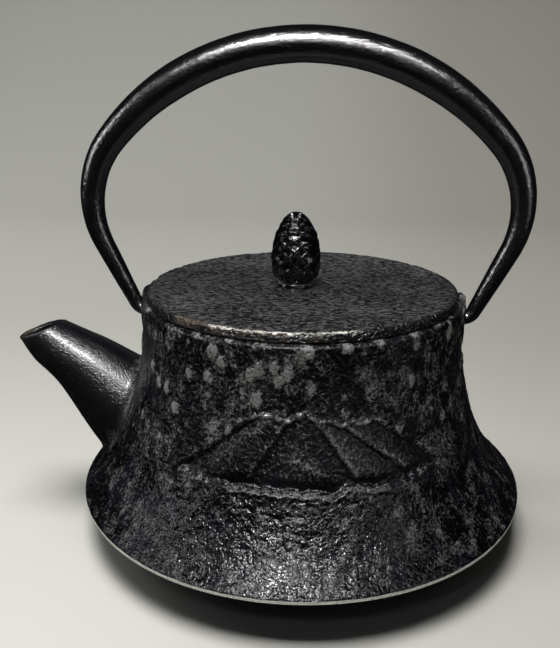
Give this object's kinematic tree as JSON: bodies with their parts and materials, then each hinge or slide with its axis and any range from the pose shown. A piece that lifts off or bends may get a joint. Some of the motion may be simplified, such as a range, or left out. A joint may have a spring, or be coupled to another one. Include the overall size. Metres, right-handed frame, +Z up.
{
  "type": "teapot",
  "caption": "Cast-iron teapot with a flared bell body, short spout, upright bail handle, flat lid with a pine-cone knob, and a steel mesh infuser basket.",
  "frame": {"origin": "middle of the flat base, on the surface the teapot stands on", "axes": "+Z up; the spout points along -X; the handle stands in the XZ plane; -Y is the front, with the mountain relief"},
  "size_m": [0.1746, 0.15, 0.1612],
  "materials": {
    "body_iron": "matte and satin black lacquer over a pitted cast surface, worn grey on the high spots",
    "spout_iron": "satin black lacquer, finely grained",
    "handle_iron": "glossy black lacquer with orange peel",
    "lid_iron": "dull black with fine streaky grain, worn and brownish at the edge",
    "knob_iron": "glossy black lacquer",
    "fastener_steel": "plain steel",
    "basket_steel": "bright stainless steel"
  },
  "bodies": {
    "pot": {"pot_shell": "body_iron", "spout": "spout_iron"},
    "handle": {"handle_bail": "handle_iron"},
    "infuser": {"infuser_rim": "basket_steel", "infuser_wall": "basket_steel", "infuser_floor": "basket_steel", "infuser_floor_ring": "basket_steel"},
    "lid": {"lid_plate": "lid_iron", "lid_knob": "knob_iron", "knob_collar": "knob_iron", "knob_stud": "fastener_steel", "knob_washer": "fastener_steel", "knob_nut": "fastener_steel"}
  },
  "joints": [
    {"name": "handle_fold", "type": "hinge", "parent": "pot", "child": "handle", "pos_m": [0, 0, 0.071], "axis": [1, 0, 0], "range_deg": [-120, 120]},
    {"name": "infuser_lift", "type": "slide", "parent": "pot", "child": "infuser", "axis": [0, 0, 1], "range_m": [0, 0.043]},
    {"name": "lid_lift", "type": "slide", "parent": "infuser", "child": "lid", "axis": [0, 0, 1], "range_m": [0, 0.04]}
  ]
}
